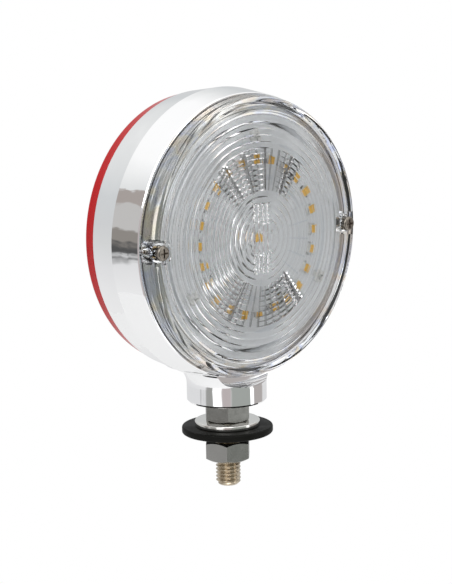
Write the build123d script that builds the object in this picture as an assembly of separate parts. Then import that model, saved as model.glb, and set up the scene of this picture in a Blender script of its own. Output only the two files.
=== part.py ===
from build123d import *
from math import asin, cos, degrees, hypot, pi, radians, sin, sqrt, tan
import os

os.makedirs("parts", exist_ok=True)

# Double-face pedestal lamp on a threaded stud.  Millimetres, +Z up.
# The origin is on the stud's axis, on the underside of the rubber washer, which is the seat.
# The front (clear) lens faces -Y and the rear (red) lens faces +Y.

# --- drum and pedestal
lamp_z = 80.2            # height of the lamp's own axis, which runs along Y
drum_crease_r = 57.1     # outer radius of the drum at its parting line, y = 0
drum_edge_r = 55.4       # outer radius at each open edge
drum_half = 13.4         # half the drum's depth
drum_bore_r = 53.0
edge_round = 0.5
gasket_step_r = 54.2
gasket_step = 0.8
pedestal_r = 15.9
pedestal_bottom = 13.1
flare_start = 20.2
flare_r = 24.8
flare_end = 29.0
scoop_r = 59.2           # radius, about the lamp's axis, of the scoops that clear the lenses
scoop_y = 10.6
scoop_corner = 2.2
pivot_well_r = 9.0
pivot_floor = 19.0
stud_hole_r = 5.06
seal_groove_r = 7.05
seal_groove = 1.9

# --- lenses
lens_base_y = 13.47
lens_base_r = 55.1
lens_rim_r = 54.2
lens_rim_y = 20.1
lens_rim_round = 2.3
cove_y = 19.3
disc_r = 48.6
disc_edge_y = 20.0
lens_crown_y = 23.4
lens_wall = 2.2
lens_screw_r = 49.6      # the two lens screws of a face are this far from the lamp's axis
ear_half = 4.6
ear_y = 19.2
ear_post_r = 3.7
ear_post_end = 12.95

# --- inside
board_r = 43.0
board_y = 15.4
board_t = 1.6
led_ring_r = 30.0
led_count = 24
led_side = 3.3
led_h = 1.1
centre_led_r = 4.2
resistor_size = (1.1, 0.4, 0.6)
resistor_gap = 2.25      # tangentially, from the LED's middle
resistor_in = 0.9        # towards the lamp's axis
divider_r = 52.8
divider_half = 1.0
spacer_r = 38.5
spacer_angles = (90.0, 210.0, 330.0)
rib_inner_r = 50.6
lug_r = 49.6
lug_angles = (55.0, 125.0, 235.0, 305.0)

# --- stud, nuts and washers
stud_r = 5.0
stud_end = -21.5
stud_chamfer = 1.3
stud_tip_r = 3.8
stud_bore_r = 3.0
stud_head_r = 7.6
stud_head = (19.7, 23.2)
relief = (-11.5, -10.6)      # parts the free end of the stud from the rest of its wall
relief_r = 4.55
nut_af = 17.0
nut_face_d = 15.9
nut_h = 8.0
nut_bore_r = 5.06
lock_nut_bottom = 5.1
lock_nut_turn = 229.3
mounting_nut_top = -3.1
mounting_nut_turn = 224.4
rubber_r = 18.2
rubber_t = 2.8
steel_r = 13.0
steel_t = 2.3
washer_bore_r = 5.3


def ring_point(radius, angle):
    return radius * cos(radians(angle)), radius * sin(radians(angle))


def about_lamp(profile):
    """Turn a face drawn as (radius, y) about the lamp's axis."""
    return Pos(0, 0, lamp_z) * revolve(profile, Axis.Y, 360)


def about_stud(points):
    """Turn a closed polygon of (radius, z) about the stud's axis."""
    return revolve(Plane.XZ * make_face(Polyline(*points, close=True)), Axis.Z, 360)


def along_y(x, z, radius, y0, y1):
    """A cylinder along Y at (x, z) from the lamp's axis."""
    middle = Pos(x, (y0 + y1) / 2, lamp_z + z)
    return middle * Rot(90, 0, 0) * Cylinder(radius, abs(y1 - y0))


def block(x0, x1, y0, y1, z0, z1):
    size = Box(x1 - x0, y1 - y0, z1 - z0)
    return Pos((x0 + x1) / 2, (y0 + y1) / 2, (z0 + z1) / 2) * size


def front_of(shape):
    return mirror(shape, Plane.XZ)


def save(shape, node):
    solids = shape if isinstance(shape, list) else [shape]
    flat = [s for item in solids for s in item.solids()]
    export_step(Compound(flat) if len(flat) > 1 else flat[0], f"parts/{node}.step")


# ---------------------------------------------------------------- housing

def drum():
    e = edge_round
    outer = [
        (drum_bore_r, -drum_half),
        (drum_edge_r - e, -drum_half),
        (drum_edge_r, -drum_half + e),
        (drum_crease_r, 0),
        (drum_edge_r, drum_half - e),
        (drum_edge_r - e, drum_half),
        (drum_bore_r, drum_half),
    ]
    return about_lamp(make_face(Polyline(*outer, close=True)))


def gasket_step_cut(y0, y1):
    points = [(drum_bore_r - 1, y0), (gasket_step_r, y0), (gasket_step_r, y1), (drum_bore_r - 1, y1)]
    return about_lamp(make_face(Polyline(*points, close=True)))


def pedestal():
    """The round pedestal, its flare into the drum, and the scoops under the two lenses."""
    foot = 0.8
    base = Polyline(
        (0, flare_end + 4), (0, pedestal_bottom), (pedestal_r - foot, pedestal_bottom),
        (pedestal_r, pedestal_bottom + foot), (pedestal_r, flare_start),
    )
    curve = TangentArc((pedestal_r, flare_start), (flare_r, flare_end), tangent=(0, 1))
    top = Polyline((flare_r, flare_end), (flare_r, flare_end + 4), (0, flare_end + 4))
    body = revolve(Plane.XZ * make_face([base, curve, top]), Axis.Z, 360)
    c = scoop_corner
    corner = [
        Line((20, scoop_y), (scoop_r - c, scoop_y)),
        TangentArc((scoop_r - c, scoop_y), (scoop_r, scoop_y + c), tangent=(1, 0)),
        Polyline((scoop_r, scoop_y + c), (scoop_r, 30), (20, 30), (20, scoop_y)),
    ]
    scoop = about_lamp(make_face(corner))
    return body - scoop - front_of(scoop)


def housing():
    cavity = Pos(0, 0, lamp_z) * Rot(90, 0, 0) * Cylinder(drum_bore_r, 2 * drum_half + 2)
    shell = drum() + (pedestal() - cavity)
    for side in (-1, 1):
        post = along_y(side * lens_screw_r, 0, 4.3, -12.9, 12.9)
        web = block(min(side * 50, side * 54), max(side * 50, side * 54), -12.2, 12.2, lamp_z - 4.3, lamp_z + 4.3)
        shell = shell + post + web
        for y0, y1 in ((5.0, 13.5), (-13.5, -5.0)):
            shell = shell - along_y(side * lens_screw_r, 0, 2.3, y0, y1)
    step = gasket_step_cut(drum_half - gasket_step, drum_half + 1)
    shell = shell - step - front_of(step)
    rib = make_face(Polyline(
        (rib_inner_r, divider_half), (drum_bore_r + 0.4, divider_half),
        (drum_bore_r + 0.4, 3.0), (rib_inner_r, 3.0), close=True,
    ))
    shell = shell + about_lamp(rib)
    for angle in lug_angles:
        x, z = ring_point(lug_r, angle)
        shell = shell + along_y(x, z, 3.6, divider_half, 9.0)
        shell = shell - along_y(x, z, 1.25, divider_half - 0.5, 7.5)
    well = Pos(0, 0, (pivot_floor + 35) / 2) * Cylinder(pivot_well_r, 35 - pivot_floor)
    hole = Pos(0, 0, 16) * Cylinder(stud_hole_r, 10)
    groove = Pos(0, 0, pedestal_bottom + seal_groove / 2) * Cylinder(seal_groove_r, seal_groove)
    return shell - well - hole - groove


# ---------------------------------------------------------------- lens and seal

def dome_y(radius, wall):
    """Height of a sphere centred on the lamp's axis, wall below the lens's outer dome."""
    rise = lens_crown_y - disc_edge_y
    sphere = (disc_r ** 2 + rise ** 2) / (2 * rise)
    return lens_crown_y - sphere + sqrt((sphere - wall) ** 2 - radius ** 2)


def lens():
    """Rear lens: a cap with a rounded rim, a cove and a shallow domed disc."""
    q = lens_rim_round
    crown = dome_y(0, 0)
    outside = [
        Line((53.3, lens_base_y), (lens_base_r, lens_base_y)),
        Line((lens_base_r, lens_base_y), (lens_rim_r, lens_rim_y - q)),
        ThreePointArc(
            (lens_rim_r, lens_rim_y - q), (lens_rim_r - 0.3 * q, lens_rim_y - 0.3 * q), (lens_rim_r - q, lens_rim_y)
        ),
        Line((lens_rim_r - q, lens_rim_y), (50.6, cove_y)),
        Line((50.6, cove_y), (disc_r + 0.5, cove_y)),
        Line((disc_r + 0.5, cove_y), (disc_r, disc_edge_y)),
        ThreePointArc((disc_r, disc_edge_y), (disc_r / 2, dome_y(disc_r / 2, 0)), (0, crown)),
    ]
    inside = [
        Line((0, crown), (0, dome_y(0, lens_wall))),
        ThreePointArc(
            (0, dome_y(0, lens_wall)), (23.5, dome_y(23.5, lens_wall)), (47.0, dome_y(47.0, lens_wall))
        ),
        Polyline((47.0, dome_y(47.0, lens_wall)), (48.2, 17.2), (51.3, 17.2), (52.2, 16.3), (53.3, lens_base_y)),
    ]
    shape = about_lamp(make_face(outside + inside))
    for side in (-1, 1):
        shape = shape + along_y(side * lens_screw_r, 0, ear_post_r, ear_post_end, 18.5)
        slot = along_y(side * lens_screw_r, 0, ear_half, ear_y, 26)
        run = block(min(side * lens_screw_r, side * 57), max(side * lens_screw_r, side * 57),
                    ear_y, 26, lamp_z - ear_half, lamp_z + ear_half)
        shape = shape - slot - run
        shape = shape - along_y(side * lens_screw_r, 0, 1.75, 10, 26)
    return shape


def gasket():
    points = [(53.35, 12.62), (54.1, 12.62), (54.1, 13.45), (53.35, 13.45)]
    return about_lamp(make_face(Polyline(*points, close=True)))


def reflector():
    """Bright ring that covers the gap between the board and the drum."""
    points = [(43.3, 15.3), (44.1, 16.6), (51.5, 13.6), (52.7, 13.3), (52.7, 12.3), (51.2, 12.5)]
    ring = about_lamp(make_face(Polyline(*points, close=True)))
    for side in (-1, 1):
        ring = ring - along_y(side * lens_screw_r, 0, 4.7, 5, 20)
    return ring


# ---------------------------------------------------------------- boards

def board():
    disc = along_y(0, 0, board_r, board_y, board_y + board_t)
    for angle in spacer_angles:
        x, z = ring_point(spacer_r, angle)
        disc = disc - along_y(x, z, 1.6, board_y - 1, board_y + board_t + 1)
    return disc


def turned(shape, radius, angle):
    """Carry a shape drawn at the origin, facing +Y, to a place on the board."""
    x, z = ring_point(radius, angle)
    return Pos(x, 0, lamp_z + z) * Rot(0, -angle, 0) * shape


def ring_leds():
    top = board_y + board_t
    body = Pos(0, top + led_h / 2 + 0.01, 0) * Box(led_side, led_h, led_side)
    window = Pos(0, top + led_h + 0.01, 0) * Rot(90, 0, 0) * Cylinder(1.2, 0.4)
    led = body - window
    return [turned(led, led_ring_r, 360 / led_count * k) for k in range(led_count)]


def centre_leds():
    top = board_y + board_t
    body = Pos(0, top + led_h / 2 + 0.01, 0) * Box(led_side, led_h, led_side)
    window = Pos(0, top + led_h + 0.01, 0) * Rot(90, 0, 0) * Cylinder(1.2, 0.4)
    return [Pos(0, 0, lamp_z) * (body - window)]


def resistors():
    """Two small chip resistors beside each ring LED, on the side nearer the lamp's axis."""
    top = board_y + board_t
    sx, sy, sz = resistor_size
    chips = [Pos(-resistor_in, top + 0.01 + sy / 2, side * resistor_gap) * Box(sx, sy, sz) for side in (-1, 1)]
    pair = Compound(chips)
    return [turned(pair, led_ring_r, 360 / led_count * k) for k in range(led_count)]


def driver():
    """Capacitor, rectifier and choke on the hidden side of the board."""
    y = board_y - 0.02
    can = along_y(-14, 10, 4.0, y - 9, y)
    bridge = block(4, 13, y - 3, y, lamp_z + 6, lamp_z + 14)
    choke = along_y(16, -10, 4.5, y - 6, y) - along_y(16, -10, 1.8, y - 7, y - 2)
    return [can, bridge, choke]


# ---------------------------------------------------------------- fasteners

def screw(x, z, seat, head_r, head_h, shank_r, length):
    """Pan-head screw with a cross recess.  It enters along -Y with its head on y = seat."""
    head = along_y(x, z, head_r, seat, seat + head_h)
    rim = head.edges().filter_by(GeomType.CIRCLE).sort_by(Axis.Y)[-1]
    head = fillet(rim, head_h * 0.45)
    half, thick, deep = head_r * 0.6, 0.35, head_h * 0.6
    top = seat + head_h
    bar = block(x - half, x + half, top - deep, top + 1, lamp_z + z - thick, lamp_z + z + thick)
    cross = block(x - thick, x + thick, top - deep, top + 1, lamp_z + z - half, lamp_z + z + half)
    return head - bar - cross + along_y(x, z, shank_r, seat - length, seat)


def lens_screws():
    return [screw(s * lens_screw_r, 0, ear_y, 2.9, 2.0, 1.45, 13.0) for s in (-1, 1)]


def inserts():
    sleeves = []
    for side in (-1, 1):
        for y0, y1 in ((5.05, 12.85), (-12.85, -5.05)):
            tube = along_y(side * lens_screw_r, 0, 2.28, y0, y1)
            sleeves.append(tube - along_y(side * lens_screw_r, 0, 1.5, y0 - 1, y1 + 1))
    return sleeves


def spacers():
    """Three hexagonal spacers each side of the divider, and the studs that join them."""
    pieces = []
    for angle in spacer_angles:
        x, z = ring_point(spacer_r, angle)
        hexagon = Plane.XZ * RegularPolygon(3.1, 6)
        post = Pos(x, 0, lamp_z + z) * extrude(hexagon, -(board_y - 0.02 - divider_half - 0.02))
        post = Pos(0, divider_half + 0.02, 0) * post
        if post.bounding_box().min.Y < 0:
            post = front_of(post)
        post = post - along_y(x, z, 1.5, 6, 16)
        link = along_y(x, z, 1.4, -2.0, 2.0)
        pieces.append(post + front_of(post) + link)
    return pieces


def board_screws():
    places = [ring_point(spacer_r, angle) for angle in spacer_angles]
    return [screw(x, z, board_y + board_t + 0.01, 2.6, 1.5, 1.4, 8.0) for x, z in places]


def divider():
    plate = along_y(0, 0, divider_r, -divider_half + 0.02, divider_half - 0.02)
    for side in (-1, 1):
        plate = plate - along_y(side * lens_screw_r, 0, 4.8, -5, 5)
        plate = plate - block(min(side * 49, side * 56), max(side * 49, side * 56), -5, 5, lamp_z - 4.8, lamp_z + 4.8)
    for angle in spacer_angles:
        x, z = ring_point(spacer_r, angle)
        plate = plate - along_y(x, z, 1.5, -5, 5)
    for angle in lug_angles:
        x, z = ring_point(lug_r, angle)
        plate = plate - along_y(x, z, 1.6, -5, 5)
    plate = plate - along_y(0, -51.0, 7.0, -5, 5)
    return plate - along_y(0, -8.0, 4.0, -5, 5)


def divider_screws():
    return [front_of(screw(*ring_point(lug_r, angle), divider_half, 2.2, 1.4, 1.2, 7.5)) for angle in lug_angles]


# ---------------------------------------------------------------- wiring

def terminal():
    body = block(-9.0, 9.0, -9.0, -1.05, lamp_z - 27.0, lamp_z - 18.0)
    for x in (-6.0, 0.0, 6.0):
        body = body - along_y(x, -22.5, 1.9, -10, -4)
        body = body - Pos(x, -3.0, lamp_z - 22.5) * Cylinder(1.1, 12)
    return body


def terminal_screws():
    return [along_y(x, -22.5, 1.8, -7.6, -4.4) for x in (-6.0, 0.0, 6.0)]


def lead(points, radius=0.8):
    path = Spline(*points)
    return sweep(Plane(path @ 0, z_dir=path % 0) * Circle(radius), path=path)


def leads():
    """Three short leads below the terminal and two above it, all inside the lamp."""
    low = lamp_z - 27.6
    down = [
        [(x, -3.0, low), (x * 0.6, -3.2, low - 8), (x * 0.45, -2.0, 37), (x * 0.4, 0, 25.5)] for x in (-6.0, 0.0, 6.0)
    ]
    high = lamp_z - 17.4
    up = [
        [(-6.0, -3.0, high), (-6.5, -6.0, high + 5), (-7.0, -13.0, high + 7), (-7.0, -15.0, high + 8)],
        [(6.0, -3.0, high), (4.0, -3.2, high + 4), (0.5, 0.0, lamp_z - 8), (0.0, 9.0, lamp_z - 6), (0, 15.0, lamp_z - 5)],
    ]
    return [lead(points) for points in down + up]


# ---------------------------------------------------------------- stud, nuts and washers

def stud():
    """Hollow stud with a hexagonal head held inside the pedestal."""
    low, high = stud_head
    points = [
        (0, stud_end), (stud_tip_r, stud_end), (stud_r, stud_end + stud_chamfer),
        (stud_r, relief[0]), (relief_r, relief[0]), (relief_r, relief[1]), (stud_r, relief[1]),
        (stud_r, high), (0, high),
    ]
    head = extrude(Plane.XY.offset(low) * RegularPolygon(stud_head_r, 6), high - low)
    return about_stud(points) + head - Pos(0, 0, 0) * Cylinder(stud_bore_r, 80)


def friction_washer():
    return Pos(0, 0, pivot_floor + 0.36) * (Cylinder(7.8, 0.6) - Cylinder(5.2, 2))


def hexagon_nut(bottom, corner_angle):
    """Hexagon nut, chamfered on both faces, with one corner at corner_angle."""
    corner = nut_af / sqrt(3)
    points = [ring_point(corner, corner_angle + 60 * k) for k in range(6)]
    prism = extrude(make_face(Polyline(*points, close=True)), nut_h)
    face_r = nut_face_d / 2
    drop = (corner + 0.5 - face_r) * tan(radians(30))
    envelope = about_stud([
        (0, 0), (face_r, 0), (corner + 0.5, drop), (corner + 0.5, nut_h - drop), (face_r, nut_h), (0, nut_h),
    ])
    bore = about_stud([
        (0, -1), (nut_bore_r + 1.6, -1), (nut_bore_r, 0.6), (nut_bore_r, nut_h - 0.6), (nut_bore_r + 1.6, nut_h + 1),
        (0, nut_h + 1),
    ])
    return Pos(0, 0, bottom) * ((prism & envelope) - bore)


def flat_washer(radius, bore_r, bottom, thick, edge):
    points = [
        (bore_r, bottom), (radius - edge, bottom), (radius, bottom + edge),
        (radius, bottom + thick - edge), (radius - edge, bottom + thick), (bore_r, bottom + thick),
    ]
    return about_stud(points)


def stud_seal():
    groove_middle = pedestal_bottom + seal_groove / 2
    return Pos(0, 0, groove_middle) * Torus(6.12, 0.85)


save(housing(), "housing")
save(divider(), "divider_plate")
save(divider_screws(), "divider_screws")
save(front_of(lens()), "front_lens")
save(lens(), "rear_lens")
save(front_of(gasket()), "front_gasket")
save(gasket(), "rear_gasket")
save(front_of(reflector()), "front_reflector")
save(reflector(), "rear_reflector")
save(front_of(board()), "front_board")
save(board(), "rear_board")
save([front_of(led) for led in ring_leds()], "front_ring_leds")
save(ring_leds(), "rear_ring_leds")
save([front_of(led) for led in centre_leds()], "front_centre_led")
save(centre_leds(), "rear_centre_led")
save([front_of(chip) for chip in resistors()], "front_resistors")
save(resistors(), "rear_resistors")
save([front_of(piece) for piece in driver()], "front_driver")
save(driver(), "rear_driver")
save(spacers(), "board_spacers")
save([front_of(piece) for piece in board_screws()], "front_board_screws")
save(board_screws(), "rear_board_screws")
save([front_of(piece) for piece in lens_screws()], "front_lens_screws")
save(lens_screws(), "rear_lens_screws")
save(inserts(), "screw_inserts")
save(terminal(), "terminal_block")
save(terminal_screws(), "terminal_screws")
save(leads(), "internal_leads")
save(stud(), "pivot_stud")
save(friction_washer(), "friction_washer")
save(stud_seal(), "stud_seal")
save(hexagon_nut(lock_nut_bottom, lock_nut_turn), "lock_nut")
save(flat_washer(steel_r, washer_bore_r, rubber_t, steel_t, 0.35), "steel_washer")
save(flat_washer(rubber_r, 5.2, 0.0, rubber_t, 0.45), "rubber_washer")
save(hexagon_nut(mounting_nut_top - nut_h, mounting_nut_turn), "mounting_nut")
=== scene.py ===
from math import atan2, cos, degrees, hypot, pi, radians, sin, sqrt

import bmesh
import bpy
from mathutils import Matrix, Vector


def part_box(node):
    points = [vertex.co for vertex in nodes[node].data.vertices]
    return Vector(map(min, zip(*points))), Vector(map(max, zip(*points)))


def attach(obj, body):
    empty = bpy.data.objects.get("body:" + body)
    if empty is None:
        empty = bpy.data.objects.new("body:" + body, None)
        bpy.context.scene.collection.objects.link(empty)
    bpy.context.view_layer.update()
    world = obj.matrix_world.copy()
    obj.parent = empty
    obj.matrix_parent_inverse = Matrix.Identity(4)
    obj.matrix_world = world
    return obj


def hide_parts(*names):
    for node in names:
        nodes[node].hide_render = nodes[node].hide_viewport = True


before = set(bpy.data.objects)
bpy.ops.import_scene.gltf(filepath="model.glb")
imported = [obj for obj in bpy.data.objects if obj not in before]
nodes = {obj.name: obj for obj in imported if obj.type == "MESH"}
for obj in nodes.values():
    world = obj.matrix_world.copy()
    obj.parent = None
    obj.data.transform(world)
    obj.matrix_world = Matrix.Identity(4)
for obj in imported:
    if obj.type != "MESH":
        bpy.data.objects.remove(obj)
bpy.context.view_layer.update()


# ---------------------------------------------------------------- studio
# A white tent of soft light around a pale floor, with a few greyer stretches of wall that a
# polished surface picks up.  The camera stands left of the lamp and a little above it.

class Value:
    """A number that varies over a surface.  Arithmetic on it adds Math nodes."""

    def __init__(self, maker, socket):
        self.maker = maker
        self.socket = socket

    def math(self, operation, *operands):
        sockets = dict(enumerate(operands))
        return self.maker.add("ShaderNodeMath", {"operation": operation}, sockets)

    def __add__(self, other):
        return self.math("ADD", self, other)

    def __sub__(self, other):
        return self.math("SUBTRACT", self, other)

    def __mul__(self, other):
        return self.math("MULTIPLY", self, other)

    def __abs__(self):
        return self.math("ABSOLUTE", self)


class Maker:
    """Adds nodes to one node tree."""

    def __init__(self, tree):
        self.tree = tree
        tree.nodes.clear()

    def add(self, kind, settings=None, sockets=None, output=0):
        node = self.tree.nodes.new(kind)
        for name, setting in (settings or {}).items():
            if name == "stops":
                ramp = node.color_ramp.elements
                while len(ramp) < len(setting):
                    ramp.new(0.5)
                for element, (place, colour) in zip(ramp, setting):
                    element.position = place
                    element.color = (*colour, 1.0)
            else:
                setattr(node, name, setting)
        for name, value in (sockets or {}).items():
            if isinstance(value, Value):
                self.tree.links.new(value.socket, node.inputs[name])
            elif isinstance(value, tuple) and len(value) == 3 and node.inputs[name].type == "RGBA":
                node.inputs[name].default_value = (*value, 1.0)
            else:
                node.inputs[name].default_value = value
        return Value(self, node.outputs[output]) if node.outputs else node

    def mix(self, share, first, second):
        """Colour: first where share is 0, second where it is 1."""
        settings = {"data_type": "RGBA"}
        return self.add("ShaderNodeMix", settings, {0: share, 6: first, 7: second}, output=2)

    def grade(self, value, low, high, start=0.0, end=1.0):
        """Number that goes smoothly from start to end while value goes from low to high."""
        settings = {"interpolation_type": "SMOOTHSTEP"}
        sockets = {"Value": value, "From Min": low, "From Max": high, "To Min": start, "To Max": end}
        return self.add("ShaderNodeMapRange", settings, sockets)

    def parts(self, vector):
        split = self.add("ShaderNodeSeparateXYZ", {}, {0: vector}).socket.node
        return [Value(self, split.outputs[k]) for k in range(3)]

    def noise(self, vector, scale, detail=2.0, roughness=0.5):
        sockets = {"Vector": vector, "Scale": scale, "Detail": detail, "Roughness": roughness}
        return self.add("ShaderNodeTexNoise", {}, sockets)


world = bpy.data.worlds.new("soft_tent")
world.use_nodes = True
bpy.context.scene.world = world
tent = Maker(world.node_tree)
direction = tent.add("ShaderNodeTexCoord", {}, {}, "Generated")
across, along, height = tent.parts(direction)
bearing = across.math("ARCTAN2", across, along) * (180 / pi)
rise = height.math("ARCSINE", height) * (180 / pi)
ripple = (tent.noise(direction, 9.0, 3.0) - 0.5) * 9.0
fine_ripple = (tent.noise(direction, 26.0, 2.0) - 0.5) * 5.0
tent_stops = [
    (0.0, (0.86, 0.86, 0.86)),
    (0.20, (0.88, 0.88, 0.88)),
    (0.36, (0.76, 0.76, 0.77)),
    (0.44, (0.68, 0.69, 0.69)),
    (0.52, (0.64, 0.65, 0.66)),
    (0.62, (0.64, 0.66, 0.67)),
    (0.74, (0.80, 0.81, 0.81)),
    (0.85, (1.02, 1.02, 1.02)),
    (1.0, (1.08, 1.08, 1.08)),
]
shade = tent.add("ShaderNodeValToRGB", {"stops": tent_stops}, {0: (height + 1.0) * 0.5})


def wall_patch(colour_below, colour, bearings, rises, soft=1.5, wavy=1.0):
    """Paints colour over the tent between two bearings and two rises, in degrees."""
    edge_a = bearing + ripple * wavy
    edge_r = rise + (ripple + fine_ripple) * wavy
    inside = tent.grade(edge_a, bearings[0] - soft, bearings[0] + soft)
    inside = inside * tent.grade(edge_a, bearings[1] - soft, bearings[1] + soft, 1.0, 0.0)
    inside = inside * tent.grade(edge_r, rises[0] - soft, rises[0] + soft)
    inside = inside * tent.grade(edge_r, rises[1] - soft, rises[1] + soft, 1.0, 0.0)
    return tent.mix(inside, colour_below, colour)


# Each stretch of wall: its colour, its bearings, its rises, how soft its edge is and how wavy.
wall_stretches = (
    ((0.34, 0.34, 0.33), (-98, -74), (-34, 16), 4.0, 0.6),
    ((0.54, 0.53, 0.52), (-68, -40), (2, 21), 1.5, 0.5),
    ((0.40, 0.36, 0.34), (-68, -40), (19, 27), 0.7, 0.9),
    ((0.28, 0.26, 0.24), (-68, -44), (-8, 4), 1.0, 1.0),
    ((0.09, 0.09, 0.09), (-66, -52), (-13, -6), 2.5, 1.3),
    ((1.45, 1.45, 1.45), (-124, -98), (-45, 60), 2.0, 0.1),
    ((0.50, 0.45, 0.45), (-150, -124), (-40, 14), 5.0, 0.6),
    ((0.36, 0.38, 0.36), (-185, -150), (-34, 12), 3.0, 0.3),
    ((0.36, 0.38, 0.36), (153, 185), (-34, 12), 3.0, 0.3),
    ((2.0, 2.0, 2.0), (141, 152), (-35, 50), 2.0, 0.1),
    ((0.44, 0.41, 0.40), (98, 140), (-35, 12), 3.0, 0.5),
)
for stretch in wall_stretches:
    shade = wall_patch(shade, *stretch)
seen = tent.add("ShaderNodeLightPath", {}, {}, "Is Camera Ray")
sky = tent.mix(seen, shade, (1.0, 1.0, 1.0))
background = tent.add("ShaderNodeBackground", {}, {"Color": sky, "Strength": 1.0})
tent.add("ShaderNodeOutputWorld", {}, {"Surface": background})
world.cycles.sampling_method = "MANUAL"
world.cycles.sample_map_resolution = 512

floor_z = -0.30
floor_r = 0.60
floor_mesh = bmesh.new()
bmesh.ops.create_circle(floor_mesh, cap_ends=True, segments=96, radius=floor_r)
bmesh.ops.translate(floor_mesh, vec=(0, 0, floor_z), verts=floor_mesh.verts)


def finished(mesh, name):
    """The object made from a bmesh, linked at the origin."""
    data = bpy.data.meshes.new(name)
    mesh.to_mesh(data)
    mesh.free()
    piece = bpy.data.objects.new(name, data)
    bpy.context.scene.collection.objects.link(piece)
    return piece


def principled(name, build):
    """A material whose Principled sockets come from build(maker, position)."""
    made = bpy.data.materials.new(name)
    made.use_nodes = True
    maker = Maker(made.node_tree)
    position = maker.add("ShaderNodeTexCoord", {}, {}, "Object")
    shader = maker.add("ShaderNodeBsdfPrincipled", {}, build(maker, position))
    maker.add("ShaderNodeOutputMaterial", {}, {"Surface": shader})
    return made


def dressed(piece, *materials):
    """Gives a piece its materials in place of any it has."""
    if len(piece.data.materials):
        piece.data.materials.clear()
    for made in materials:
        piece.data.materials.append(made)
    return piece


def matt_floor(maker, position):
    tone = maker.noise(position, 6.0)
    return {"Base Color": maker.mix(tone, (0.80, 0.80, 0.80), (0.82, 0.82, 0.82)), "Roughness": 0.9}


floor = dressed(finished(floor_mesh, "studio_floor"), principled("pale_floor", matt_floor))

for name, place, size, power in (
    ("key_panel", (-0.8, -0.9, 0.9), 0.9, 5.5),
    ("top_panel", (0.1, -0.3, 1.3), 0.9, 1.5),
):
    light = bpy.data.lights.new(name, "AREA")
    light.size = size
    light.energy = power
    lamp = bpy.data.objects.new(name, light)
    lamp.location = place
    lamp.rotation_euler = (Vector((0, 0, 0.06)) - Vector(place)).to_track_quat("-Z", "Y").to_euler()
    bpy.context.scene.collection.objects.link(lamp)

camera_turn = radians(-43.01)
camera_rise = radians(10.36)
camera_roll = radians(-1.08)
camera_distance = 0.7159
look_height = 0.05658
look_side = 0.00043
back = Vector((
    sin(camera_turn) * cos(camera_rise), -cos(camera_turn) * cos(camera_rise), sin(camera_rise)
))
right = Vector((cos(camera_turn), sin(camera_turn), 0))
up = back.cross(right).normalized()
rolled_right = right * cos(camera_roll) + up * sin(camera_roll)
rolled_up = up * cos(camera_roll) - right * sin(camera_roll)
eye = right * look_side + Vector((0, 0, look_height)) + back * camera_distance
lens_data = bpy.data.cameras.new("camera")
lens_data.lens = 111.9
lens_data.sensor_width = 36.0
camera = bpy.data.objects.new("camera", lens_data)
turn = Matrix((rolled_right, rolled_up, back)).transposed()
camera.matrix_world = Matrix.Translation(eye) @ turn.to_4x4()
bpy.context.scene.collection.objects.link(camera)
bpy.context.scene.camera = camera
bpy.context.scene.view_settings.view_transform = "Standard"


# ---------------------------------------------------------------- housing
# Die-cast drum and pedestal in one piece, polished and chromium plated all over.  The drum has a
# crease at its parting line, and the polish leaves faint waves that bend what it mirrors.

mm = 0.001
lamp_low, lamp_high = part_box("front_lens")
lamp_z = (lamp_low.z + lamp_high.z) / 2
drum_wall_inner = 54.4
drum_wall_outer = 55.2


def lamp_radius(maker, position):
    """Distance from the lamp's axis, in metres."""
    x, y, z = maker.parts(position)
    return x.math("SQRT", x * x + (z - lamp_z) * (z - lamp_z))


def chrome(maker, position):
    waves = maker.noise(position, 55.0, 1.5)
    reach = lamp_radius(maker, position)
    outer_wall = maker.grade(reach, drum_wall_inner * mm, drum_wall_outer * mm)
    bump = {"Height": waves * outer_wall, "Strength": 1.0, "Distance": 0.00045}
    haze = maker.noise(position, 140.0, 4.0, 0.6)
    return {
        "Base Color": maker.mix(haze, (0.93, 0.935, 0.94), (0.95, 0.95, 0.955)),
        "Metallic": 1.0,
        "Roughness": maker.grade(haze, 0.35, 0.8, 0.02, 0.06),
        "Normal": maker.add("ShaderNodeBump", {}, bump),
    }


dressed(nodes["housing"], principled("polished_chrome", chrome))


# ---------------------------------------------------------------- lenses
# One moulding used twice: clear acrylic in front and red behind.  A rounded rim, a cove, and a
# shallow domed disc whose inner face carries rings, fluted fans above and below, and a tall
# central prism.  Two ears take the screws.

lens_base_r = (lamp_high.x - lamp_low.x) / 2 / mm
lens_crown = -lamp_low.y / mm
disc_r = 48.6
disc_edge = lens_crown - 3.4
lens_wall = 2.2
dome_radius = (disc_r ** 2 + (lens_crown - disc_edge) ** 2) / (2 * (lens_crown - disc_edge))
centre_rings = [0.0, 2.6, 5.2, 8.0, 10.8, 13.4, 16.0, 18.5]
outer_rings = [36.9, 39.4, 41.9, 44.4, 46.8]
ring_edges = centre_rings + [centre_rings[-1] + 2.0 * k for k in range(1, 9)] + outer_rings
fan_inner = 18.5
fan_outer = 34.5
fan_flute = 7
upper_fan = (50, 134)
lower_fan = (228, 312)
fan_bars = (60, 85, 104, 122, 240, 307)
groove_depth = 0.10
tooth_depth = 0.56
bar_half = 1.1
bar_depth = -0.5
cell_depth = 0.72
prism_half_width = 4.6
prism_half_height = 13.5
prism_plain_half = 5.5
rib_pitch = 2.3
dimple_pitch = 1.7
screw_circle_r = 49.6
post_r = 3.7
post_middle = 15.925
post_length = 5.95
screw_hole_r = 1.75
ear_half = 4.6
ear_cut_middle = 22.2
ear_cut_depth = 6.0
ear_run = 8.0
glint_inner = 52.0
glint_outer = 53.5
lens_turns = 360


def dome(radius, wall):
    return lens_crown - dome_radius + sqrt((dome_radius - wall) ** 2 - radius ** 2)


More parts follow.
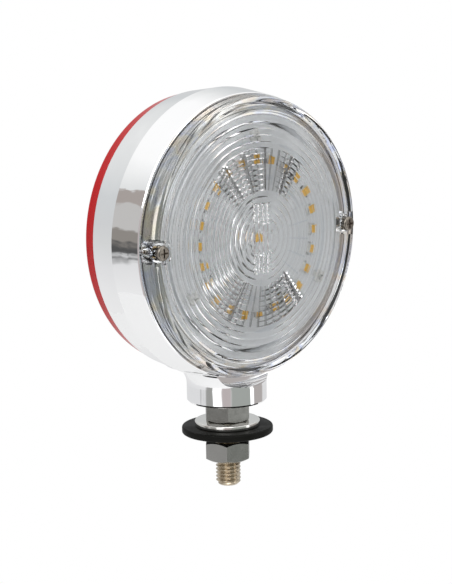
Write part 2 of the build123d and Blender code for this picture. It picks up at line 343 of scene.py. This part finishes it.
def arc_points(centre, radius, start, end, count):
    """Points of an arc from one angle to another, in degrees."""
    steps = [start + (end - start) * k / count for k in range(count + 1)]
    return [(centre[0] + radius * cos(radians(a)), centre[1] + radius * sin(radians(a))) for a in steps]


def lathe(points, steps, about_y=True):
    """Turns a closed or axis-to-axis outline of (radius, height), in mm, into a solid."""
    turned = bmesh.new()
    if about_y:
        places = [(r * mm, h * mm, lamp_z) for r, h in points]
        centre, axis = (0, 0, lamp_z), (0, 1, 0)
    else:
        places = [(r * mm, 0, h * mm) for r, h in points]
        centre, axis = (0, 0, 0), (0, 0, 1)
    row = [turned.verts.new(place) for place in places]
    links = list(zip(row, row[1:]))
    if points[0][0] > 0 or points[-1][0] > 0:
        links.append((row[-1], row[0]))
    edges = [turned.edges.new(pair) for pair in links]
    bmesh.ops.spin(
        turned, geom=row + edges, cent=centre, axis=axis, dvec=(0, 0, 0), angle=2 * pi, steps=steps,
        use_merge=True,
    )
    bmesh.ops.remove_doubles(turned, verts=turned.verts, dist=1e-7)
    bmesh.ops.recalc_face_normals(turned, faces=turned.faces)
    return turned


def smoothed(piece, sharp_angle=30):
    """Smooth shading that keeps edges sharper than the angle."""
    piece.data.shade_smooth()
    piece.data.set_sharp_from_angle(angle=radians(sharp_angle))
    return piece


def carve(piece, cutter, operation):
    """Cuts or joins one solid with another for good, and removes the other."""
    change = piece.modifiers.new("carve", "BOOLEAN")
    change.operation = operation
    change.solver = "EXACT"
    change.object = cutter
    shape = piece.evaluated_get(bpy.context.evaluated_depsgraph_get())
    result = bpy.data.meshes.new_from_object(shape)
    piece.modifiers.clear()
    piece.data = result
    bpy.data.objects.remove(cutter)


def lens_outline():
    round_r = 2.3
    rim_r = 54.2
    rim_top = 20.1
    bend = (rim_r - round_r, rim_top - round_r)
    outside = [(53.3, 13.47), (lens_base_r - 0.15, 13.47), (lens_base_r, 13.62)]
    outside += arc_points(bend, round_r, 0, 90, 8)
    outside += [(51.1, 19.75), (50.7, 19.38), (50.3, 19.3), (49.5, 19.3), (49.2, 19.38)]
    outside += [(disc_r + 0.15, 19.9), (disc_r - 0.1, disc_edge + 0.06)]
    outside.append((disc_r - 0.6, dome(disc_r - 0.6, 0)))
    outside.append((ring_edges[-1], dome(ring_edges[-1], 0) - groove_depth))
    for low, high in zip(ring_edges[-2::-1], ring_edges[:0:-1]):
        outside += [(high - 0.3, dome(high - 0.3, 0)), ((low + high) / 2, dome((low + high) / 2, 0))]
        if low > 0:
            outside += [(low + 0.3, dome(low + 0.3, 0)), (low, dome(low, 0) - groove_depth)]
    outside.append((0, lens_crown))
    inside = []
    for low, high in zip(ring_edges, ring_edges[1:]):
        count = 7
        inside += [low + (high - low) * k / count for k in range(count)]
    inside = [(r, dome(r, lens_wall)) for r in inside + [ring_edges[-1]]]
    shoulder = [(47.4, 18.3), (48.2, 17.3), (48.7, 17.2), (51.3, 17.2), (51.8, 17.0), (52.2, 16.3)]
    return outside + inside + shoulder


def crown_of(share):
    """A rounded ridge, 0 at both sides of its cell and 1 in the middle."""
    return 1 - (2 * share - 1) ** 2


def prism_depth(x, z, radius, angle):
    """How far the inner face stands in from the plain dome, in mm."""
    cell = max(k for k, edge in enumerate(ring_edges[:-1]) if radius >= edge - 1e-6)
    low, high = ring_edges[cell], ring_edges[cell + 1]
    share = min(1.0, (radius - low) / (high - low))
    ridge = crown_of(share)
    in_fan = fan_inner <= radius <= fan_outer and any(a <= angle <= b for a, b in (upper_fan, lower_fan))
    if in_fan:
        flute = crown_of((angle - upper_fan[0]) % fan_flute / fan_flute)
        depth = cell_depth * min(1.0, 2.6 * ridge) * min(1.0, 2.2 * flute)
        if any(abs(angle - bar) < bar_half for bar in fan_bars):
            depth = bar_depth
    elif share < 0.1:
        depth = 0.0
    else:
        depth = tooth_depth * (1.1 - share)
    if abs(x) < prism_half_width and abs(z) < prism_half_height:
        rib = crown_of((x + prism_half_width) % rib_pitch / rib_pitch)
        dimple = crown_of(z % dimple_pitch / dimple_pitch) if abs(z) > prism_plain_half else 0.25
        depth = 0.45 + 0.55 * rib * (0.5 + dimple) + 0.3 * dimple
    return depth


def surface_at(x, z):
    """Material index of the inner face: 1 along the fans' bars, 2 along their grid lines, where the
    acrylic is greyed as painted shade.
    """
    radius, angle = hypot(x, z), degrees(atan2(z, x)) % 360
    in_fan = fan_inner < radius < fan_outer and any(a < angle < b for a, b in (upper_fan, lower_fan))
    if not in_fan:
        return 0
    if any(abs(angle - bar) < bar_half for bar in fan_bars):
        return 1
    across_fan = (angle - upper_fan[0]) % fan_flute
    near_ring = min(abs(radius - edge) for edge in ring_edges) < 0.3
    return 2 if near_ring or min(across_fan, fan_flute - across_fan) < 0.7 else 0


def rod_along_y(name, centre, middle, radius, length, segments):
    """A rod along Y.  Its middle, radius and length are in mm."""
    rod = bmesh.new()
    place = Matrix.Translation(centre + Vector((0, middle * mm, 0))) @ Matrix.Rotation(pi / 2, 4, "X")
    bmesh.ops.create_cone(
        rod, cap_ends=True, segments=segments, radius1=radius * mm, radius2=radius * mm,
        depth=length * mm, matrix=place,
    )
    return finished(rod, name)


def make_lens(name, facing):
    """facing is -1 for the front lens and 1 for the rear one."""
    body = finished(lathe(lens_outline(), lens_turns), name)
    for side in (-1, 1):
        centre = Vector((side * screw_circle_r * mm, 0, lamp_z))
        carve(body, rod_along_y("post", centre, post_middle, post_r, post_length, 48), "UNION")
        slot = rod_along_y("slot", centre, ear_cut_middle, ear_half, ear_cut_depth, 64)
        carve(body, slot, "DIFFERENCE")
        run = bmesh.new()
        bmesh.ops.create_cube(run, size=1.0)
        run_size = (ear_run * mm, ear_cut_depth * mm, 2 * (ear_half * mm))
        run_middle = centre + Vector((side * (ear_run / 2) * mm, ear_cut_middle * mm, 0))
        bmesh.ops.scale(run, vec=run_size, verts=run.verts)
        bmesh.ops.translate(run, vec=run_middle, verts=run.verts)
        carve(body, finished(run, "run"), "DIFFERENCE")
        carve(body, rod_along_y("hole", centre, 16.0, screw_hole_r, 16.0, 40), "DIFFERENCE")
    for vertex in body.data.vertices:
        x, z = vertex.co.x / mm, (vertex.co.z - lamp_z) / mm
        radius = hypot(x, z)
        on_inside = abs(vertex.co.y / mm - dome(min(radius, ring_edges[-1]), lens_wall)) < 0.02
        if radius <= ring_edges[-1] + 0.01 and on_inside:
            angle = degrees(atan2(z, x)) % 360
            vertex.co.y -= prism_depth(x, z, radius, round(angle, 3)) * mm
    for face in body.data.polygons:
        x, z = face.center.x / mm, (face.center.z - lamp_z) / mm
        if face.center.y / mm < dome(min(hypot(x, z), disc_r), lens_wall / 2):
            face.material_index = surface_at(x, z)
    turned = bmesh.new()
    turned.from_mesh(body.data)
    if facing < 0:
        bmesh.ops.scale(turned, vec=(1, -1, 1), verts=turned.verts)
    bmesh.ops.recalc_face_normals(turned, faces=turned.faces)
    turned.to_mesh(body.data)
    turned.free()
    return smoothed(body, 26)


def clear_acrylic(maker, position):
    flow = maker.noise(position, 120.0, 3.0)
    bump = {"Height": flow, "Strength": 0.3, "Distance": 0.00001}
    reach = lamp_radius(maker, position)
    # Rainbow tints in the base colour near the rim are painted glints of light split by the acrylic.
    glint_stops = [
        (0.0, (0.95, 0.97, 1.0)), (0.42, (0.96, 0.98, 1.0)), (0.47, (0.62, 0.70, 1.0)),
        (0.51, (0.98, 0.98, 0.98)), (0.55, (1.0, 0.86, 0.60)), (0.59, (0.98, 0.80, 0.72)),
        (0.63, (0.98, 0.98, 0.98)), (1.0, (0.97, 0.98, 0.98)),
    ]
    patches = maker.noise(position, 70.0, 2.0)
    glints = maker.add("ShaderNodeValToRGB", {"stops": glint_stops}, {0: patches})
    clear = maker.mix(flow, (0.965, 0.975, 0.985), (0.985, 0.99, 0.99))
    at_rim = maker.grade(reach, glint_inner * mm, glint_outer * mm) * 0.8
    return {
        "Base Color": maker.mix(at_rim, clear, glints),
        "Roughness": maker.grade(flow, 0.3, 0.8, 0.008, 0.04),
        "Transmission Weight": 1.0,
        "IOR": 1.49,
        "Normal": maker.add("ShaderNodeBump", {}, bump),
    }


def painted_shade_acrylic(shade):
    """The clear acrylic darkened to one grey: painted shade along the fans' moulded bars and grid lines.
    """
    def build(maker, position):
        sockets = clear_acrylic(maker, position)
        sockets["Base Color"] = (shade, shade, shade)
        return sockets
    return build


def red_acrylic(maker, position):
    flow = maker.noise(position, 120.0, 3.0)
    bump = {"Height": flow, "Strength": 0.3, "Distance": 0.00001}
    return {
        "Base Color": maker.mix(flow, (0.62, 0.003, 0.006), (0.55, 0.002, 0.005)),
        "Roughness": maker.grade(flow, 0.3, 0.8, 0.02, 0.06),
        "Transmission Weight": 0.25,
        "Specular IOR Level": 0.05,
        "IOR": 1.49,
        "Normal": maker.add("ShaderNodeBump", {}, bump),
    }


for side, facing, finish, finish_slot in (
    ("front", -1, clear_acrylic, "clear_lens"),
    ("rear", 1, red_acrylic, "red_lens"),
):
    lens = make_lens(f"{side}_lens_moulding", facing)
    acrylic = principled(f"{side}_lens_acrylic", finish)
    if facing < 0:
        # The fans' bars and grid lines take greyed acrylic: painted shade for the dark they show.
        bar_painted_shade = principled("lens_bar_painted_shade", painted_shade_acrylic(0.16))
        dressed(lens, acrylic, bar_painted_shade, principled("lens_grid_painted_shade", painted_shade_acrylic(0.45)))
    else:
        dressed(lens, acrylic, acrylic, acrylic)
    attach(lens, "lamp_head")
    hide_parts(f"{side}_lens")


# ---------------------------------------------------------------- boards
# White circuit boards carry the lamps.  A ring of solder pads and fine tracks shows through the
# lacquer, and a bright ring covers the gap around each board.

lamp_ring_r = 30.0
track_gap = 6.5
spoke_turn = 15.0
spoke_middle_r = 22.0
plating_inner = 47.0
plating_outer = 47.8


def board_lacquer(maker, position):
    x, y, z = maker.parts(position)
    z = z - lamp_z
    radius = x.math("SQRT", x * x + z * z) * (1 / mm)
    turn_around = x.math("ARCTAN2", z, x) * (180 / pi)
    track = maker.grade(abs(abs(radius - lamp_ring_r) - track_gap), 0.35, 0.55, 1.0, 0.0)
    off_spoke = abs(turn_around.math("PINGPONG", turn_around, spoke_turn) - spoke_turn / 2)
    spoke = maker.grade(off_spoke, 0.5, 0.8, 1.0, 0.0)
    spoke = spoke * maker.grade(abs(radius - spoke_middle_r), 5.0, 5.4, 1.0, 0.0)
    grain = maker.noise(position, 700.0, 3.0)
    pale = maker.mix(grain, (0.86, 0.88, 0.90), (0.90, 0.915, 0.93))
    copper_under = maker.mix(track.math("MAXIMUM", track, spoke) * 0.5, pale, (0.64, 0.69, 0.74))
    bump = {"Height": track + grain * 0.1, "Strength": 0.5, "Distance": 0.00003}
    return {
        "Base Color": copper_under,
        "Roughness": maker.grade(grain, 0.3, 0.8, 0.28, 0.42),
        "Normal": maker.add("ShaderNodeBump", {}, bump),
    }


def bright_ring(maker, position):
    radius = lamp_radius(maker, position)
    sockets = {"W": radius, "Scale": 900.0, "Detail": 2.0}
    lines = maker.add("ShaderNodeTexNoise", {"noise_dimensions": "1D"}, sockets)
    plated = maker.grade(radius, plating_inner * mm, plating_outer * mm)
    metal = maker.mix(lines, (0.50, 0.49, 0.46), (0.62, 0.62, 0.60))
    return {
        "Base Color": maker.mix(plated, (0.84, 0.86, 0.88), metal),
        "Metallic": plated,
        "Roughness": maker.grade(lines, 0.3, 0.7, 0.08, 0.14),
    }


def chip_black(maker, position):
    grain = maker.noise(position, 2500.0, 2.0)
    return {
        "Base Color": maker.mix(grain, (0.02, 0.02, 0.022), (0.05, 0.05, 0.055)),
        "Roughness": maker.grade(grain, 0.3, 0.7, 0.35, 0.6),
    }


lacquer = principled("board_lacquer", board_lacquer)
bright = principled("reflector_metallised", bright_ring)
black_chip = principled("component_black", chip_black)
for side in ("front", "rear"):
    dressed(nodes[f"{side}_board"], lacquer)
    dressed(nodes[f"{side}_reflector"], bright)
    dressed(nodes[f"{side}_driver"], black_chip)


# ---------------------------------------------------------------- lamps on the boards
# Square surface-mount lamps: a white frame around a phosphor window (red epoxy on the rear
# board), two tinned ends, and a small black resistor either side of each.  Sizes are in mm.

lamp_half = 1.65
lamp_height = 1.1
window_margin = 0.16
window_sunk = 0.04
tin_half = 1.1
tin_reach = 0.3
lamp_count = 24
resistor_gap = 2.25
board_face = 17.01


def phosphor(maker, position):
    grain = maker.noise(position, 3000.0, 2.0)
    return {
        "Base Color": maker.mix(grain, (1.0, 0.52, 0.03), (1.0, 0.60, 0.06)),
        "Roughness": 0.55,
    }


def red_epoxy(maker, position):
    grain = maker.noise(position, 3000.0, 2.0)
    return {"Base Color": maker.mix(grain, (0.75, 0.05, 0.04), (0.55, 0.02, 0.02)), "Roughness": 0.25}


def lamp_frame(maker, position):
    grain = maker.noise(position, 2500.0, 2.0)
    return {"Base Color": maker.mix(grain, (0.82, 0.80, 0.76), (0.90, 0.88, 0.84)), "Roughness": 0.45}


def tinned(maker, position):
    grain = maker.noise(position, 1800.0, 2.0)
    return {
        "Base Color": maker.mix(grain, (0.62, 0.62, 0.62), (0.78, 0.78, 0.77)),
        "Metallic": 1.0,
        "Roughness": maker.grade(grain, 0.3, 0.7, 0.25, 0.45),
    }


def block_in(mesh, low, high, surface):
    """Adds a box between two corners, in mm, with its faces on one material."""
    made = bmesh.ops.create_cube(mesh, size=1.0)["verts"]
    size = [b - a for a, b in zip(low, high)]
    middle = [(a + b) / 2 for a, b in zip(low, high)]
    bmesh.ops.scale(mesh, vec=size, verts=made)
    bmesh.ops.translate(mesh, vec=middle, verts=made)
    faces = {face for vertex in made for face in vertex.link_faces}
    for face in faces:
        face.material_index = surface
    return faces


def lamp_chip():
    """One lamp drawn at the origin on y = 0, facing +Y, in mm.  Material 0 frame, 1 window, 2 tin."""
    chip = bmesh.new()
    faces = block_in(chip, (-lamp_half, 0, -lamp_half), (lamp_half, lamp_height, lamp_half), 0)
    top = [
        face for face in faces
        if face.normal.y > 0.9 or face.calc_center_median().y > lamp_height - 0.05
    ]
    bmesh.ops.inset_region(chip, faces=top, thickness=window_margin)
    bmesh.ops.translate(chip, vec=(0, -window_sunk, 0), verts=[v for face in top for v in face.verts])
    for face in top:
        face.material_index = 1
    for end in (-1, 1):
        reach = sorted((end * lamp_half, end * (lamp_half + tin_reach)))
        low, high = (-tin_half, 0.02, reach[0]), (tin_half, 0.5, reach[1])
        block_in(chip, low, high, 2)
    return chip


def resistor_pair():
    """Two small resistors beside a lamp that stands at the origin, in mm.  Material 0 black, 1 tin."""
    pair = bmesh.new()
    for side in (-1, 1):
        middle = side * resistor_gap
        block_in(pair, (-1.33, 0, middle - 0.3), (-0.47, 0.4, middle + 0.3), 0)
        for low in (-1.45, -0.47):
            block_in(pair, (low, 0, middle - 0.28), (low + 0.12, 0.38, middle + 0.28), 1)
    return pair


def placed_group(name, chip, places, facing):
    """Copies of one chip around the board, joined in one piece."""
    pattern = bpy.data.meshes.new("chip")
    chip.to_mesh(pattern)
    chip.free()
    group = bmesh.new()
    for radius, angle in places:
        known = set(group.verts)
        group.from_mesh(pattern)
        new = [vertex for vertex in group.verts if vertex not in known]
        where = Vector((radius * cos(radians(angle)), board_face, radius * sin(radians(angle))))
        turn_to = Matrix.Translation(where) @ Matrix.Rotation(-radians(angle), 4, "Y")
        bmesh.ops.transform(group, matrix=turn_to, verts=new)
    bmesh.ops.scale(group, vec=(mm, mm * facing, mm), verts=group.verts)
    bmesh.ops.translate(group, vec=(0, 0, lamp_z), verts=group.verts)
    if facing < 0:
        bmesh.ops.reverse_faces(group, faces=group.faces)
    bpy.data.meshes.remove(pattern)
    return finished(group, name)


frame_white = principled("lamp_frame_white", lamp_frame)
tin = principled("tinned_end", tinned)
ring_lamps = [(lamp_ring_r, 360 / lamp_count * k) for k in range(lamp_count)]
for side, facing, window, window_slot in (
    ("front", -1, principled("amber_phosphor_window", phosphor), "amber_phosphor"),
    ("rear", 1, principled("red_epoxy_window", red_epoxy), "red_led"),
):
    for group_name, places in (("ring_leds", ring_lamps), ("centre_led", [(0.0, 0.0)])):
        lamps = placed_group(f"{side}_{group_name}_soldered", lamp_chip(), places, facing)
        dressed(lamps, frame_white, window, tin)
        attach(lamps, "lamp_head")
        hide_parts(f"{side}_{group_name}")
    chips = placed_group(f"{side}_resistors_soldered", resistor_pair(), ring_lamps, facing)
    dressed(chips, black_chip, tin)
    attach(chips, "lamp_head")
    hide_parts(f"{side}_resistors")


# ---------------------------------------------------------------- screws and inserts
# Cross-recess pan-head screws in bright nickel, and the knurled brass inserts and hexagonal
# spacers that they run into.

def nickel(maker, position):
    grain = maker.noise(position, 1200.0, 3.0)
    return {
        "Base Color": maker.mix(grain, (0.20, 0.18, 0.16), (0.30, 0.27, 0.23)),
        "Metallic": 1.0,
        "Roughness": maker.grade(grain, 0.3, 0.7, 0.14, 0.28),
    }


def turned_brass(maker, position):
    grain = maker.noise(position, 1500.0, 3.0)
    return {
        "Base Color": maker.mix(grain, (0.60, 0.45, 0.24), (0.46, 0.33, 0.16)),
        "Metallic": 1.0,
        "Roughness": maker.grade(grain, 0.3, 0.7, 0.22, 0.38),
    }


screw_nickel = principled("screw_nickel", nickel)
brass = principled("insert_brass", turned_brass)
for name in ("front_lens_screws", "rear_lens_screws", "divider_screws", "terminal_screws"):
    dressed(nodes[name], screw_nickel)
for name in ("screw_inserts", "board_spacers"):
    dressed(nodes[name], brass)


# ---------------------------------------------------------------- inner plastics and wiring
# Moulded nylon divider and friction washer, the terminal block, its leads, and the rubber seals.

def nylon(maker, position):
    grain = maker.noise(position, 500.0, 3.0)
    bump = {"Height": grain, "Strength": 0.3, "Distance": 0.00003}
    return {
        "Base Color": maker.mix(grain, (0.74, 0.74, 0.72), (0.84, 0.84, 0.82)),
        "Roughness": maker.grade(grain, 0.3, 0.7, 0.4, 0.6),
        "Normal": maker.add("ShaderNodeBump", {}, bump),
    }


def green_moulding(maker, position):
    grain = maker.noise(position, 900.0, 3.0)
    return {
        "Base Color": maker.mix(grain, (0.03, 0.22, 0.08), (0.05, 0.32, 0.12)),
        "Roughness": maker.grade(grain, 0.3, 0.7, 0.35, 0.5),
    }


def lead_jacket(maker, position):
    x, y, z = maker.parts(position)
    outer = maker.grade(x, 0.0008, 0.0012)
    grain = maker.noise(position, 1500.0, 2.0)
    dark = maker.mix(grain, (0.012, 0.012, 0.014), (0.03, 0.03, 0.032))
    return {
        "Base Color": maker.mix(outer, dark, (0.55, 0.02, 0.02)),
        "Roughness": maker.grade(grain, 0.3, 0.7, 0.35, 0.5),
    }


def rubber(maker, position):
    grain = maker.noise(position, 1400.0, 4.0, 0.6)
    dust = maker.noise(position, 130.0, 3.0)
    bump = {"Height": grain, "Strength": 0.5, "Distance": 0.00004}
    return {
        "Base Color": maker.mix(dust, (0.006, 0.006, 0.005), (0.012, 0.012, 0.011)),
        "Roughness": maker.grade(dust, 0.3, 0.7, 0.34, 0.50),
        "Specular IOR Level": 0.05,
        "Normal": maker.add("ShaderNodeBump", {}, bump),
    }


white_nylon = principled("white_nylon", nylon)
black_rubber = principled("black_rubber_moulded", rubber)
for name in ("divider_plate", "friction_washer", "front_board_screws", "rear_board_screws"):
    dressed(nodes[name], white_nylon)
dressed(nodes["terminal_block"], principled("terminal_green", green_moulding))
dressed(nodes["internal_leads"], principled("lead_jackets", lead_jacket))
for name in ("front_gasket", "rear_gasket", "stud_seal"):
    dressed(nodes[name], black_rubber)


# ---------------------------------------------------------------- stud
# Hollow steel stud, M10 with a rolled right-hand thread and a yellowish zinc plate.  Its end is
# chamfered and bored for the leads, and a hexagonal head holds it in the pedestal.

stud_low, stud_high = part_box("pivot_stud")
stud_end = stud_low.z / mm
stud_top = stud_high.z / mm
pitch = 1.5
thread_crest = 4.96
thread_root = 4.08
thread_top = 14.0
tip_r = 3.8
bore_r = 3.0
head_height = 3.5
head_corner_r = 7.6
stud_steps = 96


def helical_tube(low, high, profile, steps):
    """An open threaded tube cut level at both ends.  profile is (share of a pitch, radius)."""
    tube = bmesh.new()
    turns_tall = int((high - low) / pitch) + 4
    start = low - 2.25 * pitch
    row = [
        tube.verts.new((radius * mm, 0, (start + (k + share) * pitch) * mm))
        for k in range(turns_tall) for share, radius in profile
    ]
    edges = [tube.edges.new(pair) for pair in zip(row, row[1:])]
    bmesh.ops.spin(
        tube, geom=row + edges, cent=(0, 0, 0), axis=(0, 0, 1), dvec=(0, 0, pitch * mm / steps),
        angle=2 * pi, steps=steps, use_merge=False,
    )
    bmesh.ops.remove_doubles(tube, verts=tube.verts, dist=2e-6)
    for level, side in ((low, 1), (high, -1)):
        everything = tube.verts[:] + tube.edges[:] + tube.faces[:]
        bmesh.ops.bisect_plane(
            tube, geom=everything, plane_co=(0, 0, level * mm), plane_no=(0, 0, side), clear_inner=True
        )
    return tube


def open_loop(mesh, level):
    return [
        edge for edge in mesh.edges
        if edge.is_boundary and all(abs(v.co.z - level * mm) < 1e-6 for v in edge.verts)
    ]


def extend_loop(mesh, edges, radius, level):
    """Extrudes an open loop to a circle of a radius at a height, in mm."""
    made = bmesh.ops.extrude_edge_only(mesh, edges=edges)["geom"]
    for vertex in (item for item in made if isinstance(item, bmesh.types.BMVert)):
        flat = Vector((vertex.co.x, vertex.co.y)).normalized() * radius * mm
        vertex.co = (flat.x, flat.y, level * mm)
    return [item for item in made if isinstance(item, bmesh.types.BMEdge) and item.is_boundary]


thread_profile = [
    (0.0, thread_crest), (0.08, thread_crest - 0.03), (0.42, thread_root + 0.05), (0.5, thread_root),
    (0.58, thread_root + 0.05), (0.92, thread_crest - 0.03),
]
stud_mesh = helical_tube(stud_end, thread_top, thread_profile, stud_steps)
for vertex in stud_mesh.verts:
    reach = hypot(vertex.co.x, vertex.co.y) / mm
    allowed = tip_r + (vertex.co.z / mm - stud_end)
    if reach > allowed:
        vertex.co.x *= allowed / reach
        vertex.co.y *= allowed / reach
loop = extend_loop(stud_mesh, open_loop(stud_mesh, stud_end), bore_r + 0.25, stud_end)
loop = extend_loop(stud_mesh, loop, bore_r, stud_end + 0.25)
extend_loop(stud_mesh, loop, bore_r, stud_top - 0.3)
loop = extend_loop(stud_mesh, open_loop(stud_mesh, thread_top), 5.0, thread_top + 0.3)
loop = extend_loop(stud_mesh, loop, 5.0, stud_top - head_height)
for level in (stud_top - head_height, stud_top):
    loop = extend_loop(stud_mesh, loop, head_corner_r, level)
    for vertex in {v for edge in loop for v in edge.verts}:
        bearing = degrees(atan2(vertex.co.y, vertex.co.x)) % 60 - 30
        flat = Vector((vertex.co.x, vertex.co.y)) * cos(radians(30)) / cos(radians(bearing))
        vertex.co = (flat.x, flat.y, vertex.co.z)
loop = extend_loop(stud_mesh, loop, bore_r + 0.4, stud_top)
bmesh.ops.bridge_loops(stud_mesh, edges=loop + open_loop(stud_mesh, stud_top - 0.3))
bmesh.ops.recalc_face_normals(stud_mesh, faces=stud_mesh.faces)
if stud_mesh.calc_volume(signed=True) < 0:
    bmesh.ops.reverse_faces(stud_mesh, faces=stud_mesh.faces)


def yellow_zinc(maker, position):
    patches = maker.noise(position, 260.0, 3.0)
    grain = maker.noise(position, 1600.0, 3.0)
    tint = maker.mix(patches, (0.46, 0.39, 0.30), (0.58, 0.50, 0.38))
    bump = {"Height": grain, "Strength": 0.1, "Distance": 0.00001}
    return {
        "Base Color": tint,
        "Metallic": 1.0,
        "Roughness": maker.grade(grain, 0.3, 0.7, 0.16, 0.32),
        "Normal": maker.add("ShaderNodeBump", {}, bump),
    }


stud = smoothed(finished(stud_mesh, "threaded_stud"), 38)
dressed(stud, principled("zinc_plated_thread", yellow_zinc))
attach(stud, "stud_mount")
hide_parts("pivot_stud")


# ---------------------------------------------------------------- nuts
# Two hexagon nuts, chamfered on both faces, in satin nickelled steel.  Their edges are slightly
# rounded by the plating.

def satin_steel(maker, position):
    streaks = maker.noise(position, 420.0, 4.0, 0.6)
    patches = maker.noise(position, 90.0, 2.0)
    bump = {"Height": patches, "Strength": 0.3, "Distance": 0.00004}
    return {
        "Base Color": maker.mix(patches, (0.34, 0.335, 0.32), (0.44, 0.435, 0.42)),
        "Metallic": 1.0,
        "Roughness": maker.grade(streaks, 0.3, 0.7, 0.20, 0.27),
        "Normal": maker.add("ShaderNodeBump", {}, bump),
    }


def rounded_copy(node, name, width, segments=2):
    """A merged copy of a CAD node's mesh whose hard edges are rounded."""
    copy = bmesh.new()
    copy.from_mesh(nodes[node].data)
    bmesh.ops.remove_doubles(copy, verts=copy.verts, dist=1e-6)
    bmesh.ops.dissolve_limit(
        copy, angle_limit=radians(0.5), verts=copy.verts, edges=copy.edges, use_dissolve_boundaries=False
    )
    piece = finished(copy, name)
    for layer in list(piece.data.attributes):
        if layer.name == "custom_normal":
            piece.data.attributes.remove(layer)
    edge = piece.modifiers.new("rounded_edges", "BEVEL")
    edge.width = width * mm
    edge.segments = segments
    edge.limit_method = "ANGLE"
    edge.angle_limit = radians(28)
    return smoothed(piece, 40)


satin = principled("satin_nut_steel", satin_steel)
for node, name in (("lock_nut", "hexagon_lock_nut"), ("mounting_nut", "hexagon_mounting_nut")):
    nut = dressed(rounded_copy(node, name, 0.16), satin)
    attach(nut, node)
    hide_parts(node)


# ---------------------------------------------------------------- washers
# A bright turned steel washer over a wide black rubber one.  Both have softly rounded rims.

def washer_outline(radius, bore, low, high, edge):
    outline = [(bore + 0.2, low), (radius - edge, low)]
    outline += arc_points((radius - edge, low + edge), edge, -90, 0, 4)[1:]
    outline += arc_points((radius - edge, high - edge), edge, 0, 90, 4)
    outline += [(bore + 0.2, high), (bore, high - 0.2), (bore, low + 0.2)]
    return outline


def turned_steel(maker, position):
    x, y, z = maker.parts(position)
    radius = x.math("SQRT", x * x + y * y)
    sockets = {"W": radius, "Scale": 5000.0, "Detail": 3.0}
    grooves = maker.add("ShaderNodeTexNoise", {"noise_dimensions": "1D"}, sockets)
    bump = {"Height": grooves, "Strength": 0.2, "Distance": 0.00002}
    return {
        "Base Color": maker.mix(grooves, (0.70, 0.69, 0.66), (0.80, 0.79, 0.76)),
        "Metallic": 1.0,
        "Roughness": maker.grade(grooves, 0.3, 0.7, 0.10, 0.18),
        "Normal": maker.add("ShaderNodeBump", {}, bump),
    }


washer_bore_r = 5.25
washer_steel = principled("turned_washer_steel", turned_steel)
for node, name, edge, finish, finish_slot in (
    ("steel_washer", "turned_steel_washer", 0.5, washer_steel, "washer_steel"),
    ("rubber_washer", "moulded_rubber_washer", 0.7, black_rubber, "black_rubber"),
):
    low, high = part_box(node)
    outline = washer_outline(high.x / mm, washer_bore_r, low.z / mm, high.z / mm, edge)
    washer = smoothed(finished(lathe(outline, 144, about_y=False), name), 40)
    dressed(washer, finish)
    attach(washer, "washer_stack")
    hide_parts(node)
